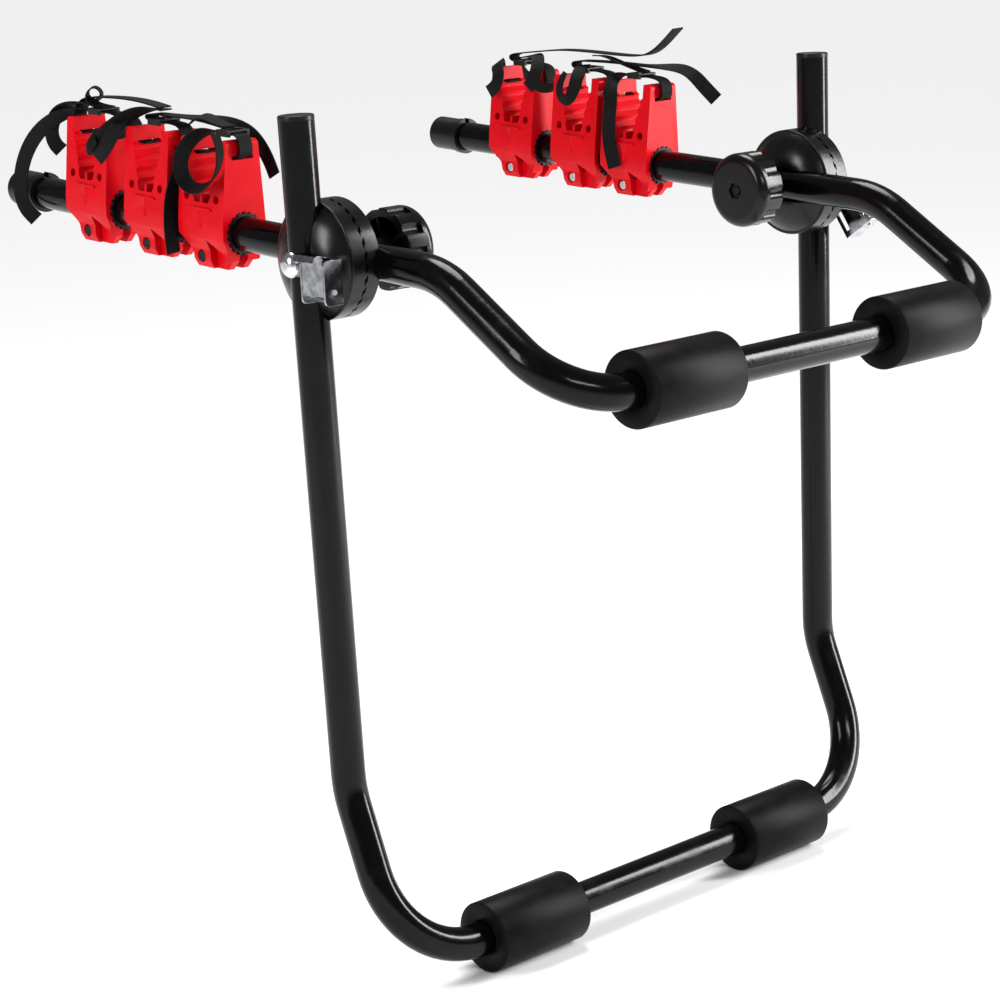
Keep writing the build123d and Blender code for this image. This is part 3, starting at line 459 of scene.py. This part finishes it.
# Slack turns of the same webbing that lie on and beside the slides, each with the cradle that it moves with
slack_turns = {
    "left_3_eye": ((0, -8, 84.6, 0), (0, 4, 84.8, 0), (-1, 11, 85.2, 0), (-7, 16.4, 93, 48), (0, 11, 103, 0),
                   (7, 5.2, 93, -48), (0, 11.5, 86.8, 0), (-5, 22, 86, 0), (-9, 32, 83, 10)),
    "left_3_turn": ((0, -10, 84.6, 0), (-1, 8, 85.5, 4), (-4, 26, 86, 12), (-8, 44, 82, 25), (-11, 57, 73, 40),
                    (-12, 64, 60, 50), (-12, 60, 48, 50), (-11, 50, 43, 45)),
    "left_2_fold": ((0, -6, 90, 0), (-2, 10, 90.5, 10), (-10, 24, 87, 30), (-19, 37, 78, 52), (-27, 49, 67, 68),
                    (-30, 60, 56, 74), (-31, 66, 51, 76), (-33, 64, 54, 76), (-31, 54, 64, 72)),
    "left_1_turn": ((0, -14, 84.6, 0), (1, 2, 86, 0), (3, 18, 89, -8), (6, 34, 88, -16), (9, 47, 82, -25)),
    "right_3_turn": ((0, 6, 84.6, 0), (-3, -10, 88, 6), (-8, -24, 90, 16), (-15, -34, 87.5, 34), (-22, -40, 80, 56),
                     (-26.5, -40, 69, 74), (-28, -33, 61, 80)),
    "right_2_turn": ((-2, 4, 84.6, 10), (-12, -2, 84, 32), (-22, -7, 76, 60), (-26.5, -7, 63, 76),
                     (-27, 1, 52, 80), (-27, 11, 55, 80), (-26.5, 14, 67, 76), (-21, 10, 79, 56)),
    "right_1_turn": ((0, -8, 84.6, 0), (-2, 8, 88, 4), (-4, 24, 92, 8), (-4, 40, 96, 8), (-2, 54, 95, 4)),
}


def cradle_place(key):
    """The matrix of a cradle's own axes: X across, Y along the arm and Z up, at its middle."""
    side = -1 if key.startswith("left") else 1
    along = cradle_places[key]
    centre = Vector((side * arm_x, hub_y + along * cos(arm_rise), hub_z + along * sin(arm_rise))) * MM
    return Matrix.Translation(centre) @ Matrix.Rotation(arm_rise, 4, "X") @ Matrix.Scale(MM, 4)


def strap_node(key):
    """The CAD node of a cradle's webbing, such as left_strap_1 for left_1."""
    return key.replace("_", "_strap_")


def webbing_piece(name, key, route):
    """Flat webbing along a route: a grid with a map of its run and width, smoothed and given its thickness."""
    points = [Vector(point[:3]) for point in route]
    lengths = [0.0]
    for before, after in zip(points, points[1:]):
        lengths.append(lengths[-1] + (after - before).length * MM)
    last = len(points) - 1
    form = bmesh.new()
    layer = form.loops.layers.uv.new(run_map)
    bmesh.ops.create_grid(form, x_segments=last, y_segments=2, size=0.5)
    for face in form.faces:
        face.smooth = True
        for loop in face.loops:
            flat = loop.vert.co
            loop[layer].uv = (lengths[round((flat.x + 0.5) * last)], 2 * flat.y * web_half * MM)
    for vert in form.verts:
        index = round((vert.co.x + 0.5) * last)
        before, after = points[max(index - 1, 0)], points[min(index + 1, last)]
        into = (points[index] - before).normalized() if index else (after - points[index]).normalized()
        out = (after - points[index]).normalized() if index < last else into
        run = (into + out).normalized()
        level = (Vector((1, 0, 0)) - run * run.x).normalized()
        turn = radians(route[index][3])
        across = level * cos(turn) + run.cross(level) * sin(turn)
        vert.co = points[index] + across * (2 * vert.co.y * web_half)
    bmesh.ops.transform(form, matrix=cradle_place(key), verts=form.verts)
    mesh = bpy.data.meshes.new(name)
    form.to_mesh(mesh)
    form.free()
    piece = new_piece(name, mesh, webbing, strap_node(key))
    smooth = piece.modifiers.new("bends", "SUBSURF")
    smooth.levels = smooth.render_levels = bend_levels
    smooth.boundary_smooth = "PRESERVE_CORNERS"
    body = piece.modifiers.new("thickness", "SOLIDIFY")
    body.thickness = web_thick * MM
    body.offset = 0.0
    return piece


for length, routes in (("long", long_straps), ("short", short_straps)):
    for key, route in routes.items():
        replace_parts(webbing_piece(f"{key}_{length}_webbing", key, route), strap_node(key))
for name, route in slack_turns.items():
    webbing_piece(f"{name}_webbing", name.rpartition("_")[0], route)


# The floor and the light

floor_size, floor_z, floor_grey = 40.0, -0.0296, 0.86


def lay_floor():
    form = bmesh.new()
    bmesh.ops.create_grid(form, x_segments=1, y_segments=1, size=floor_size / 2)
    bmesh.ops.translate(form, verts=form.verts, vec=(0.0, 0.0, floor_z))
    mesh = bpy.data.meshes.new("floor")
    form.to_mesh(mesh)
    form.free()
    floor = bpy.data.objects.new("floor", mesh)
    scene.collection.objects.link(floor)
    paint = Finish("floor", Base_Color=(floor_grey, floor_grey, floor_grey, 1.0), Roughness=0.9,
                   Specular_IOR_Level=0.1)
    mesh.materials.append(paint.material)


lay_floor()


def lamp(name, place, aim, size, power):
    """A soft box at a place, aimed at a point."""
    data = bpy.data.lights.new(name, "AREA")
    data.shape = "RECTANGLE"
    data.size, data.size_y = size
    data.energy = power
    made = bpy.data.objects.new(name, data)
    scene.collection.objects.link(made)
    made.location = place
    made.rotation_euler = (Vector(aim) - Vector(place)).to_track_quat("-Z", "Y").to_euler()


lamp("right_box", (1.7, -1.3, 1.1), (0.0, 0.1, 0.35), (0.45, 1.9), 92.0)
lamp("left_box", (-2.3, 0.35, 1.5), (0.0, 0.1, 0.4), (0.6, 1.2), 40.0)
lamp("front_box", (-0.6, -2.6, 2.0), (0.0, 0.1, 0.35), (1.4, 0.3), 30.0)

sun = bpy.data.objects.new("sky_panel", bpy.data.lights.new("sky_panel", "SUN"))
sun.data.energy = 2.8
sun.data.angle = radians(30)
sun.rotation_euler = (radians(-18), radians(14), 0)
scene.collection.objects.link(sun)

world = bpy.data.worlds.new("studio")
scene.world = world
world.use_nodes = True
sky = world.node_tree.nodes["Background"]
sky.inputs["Color"].default_value = (1.0, 1.0, 1.0, 1.0)
sky.inputs["Strength"].default_value = 0.2
scene.view_settings.view_transform = "Standard"
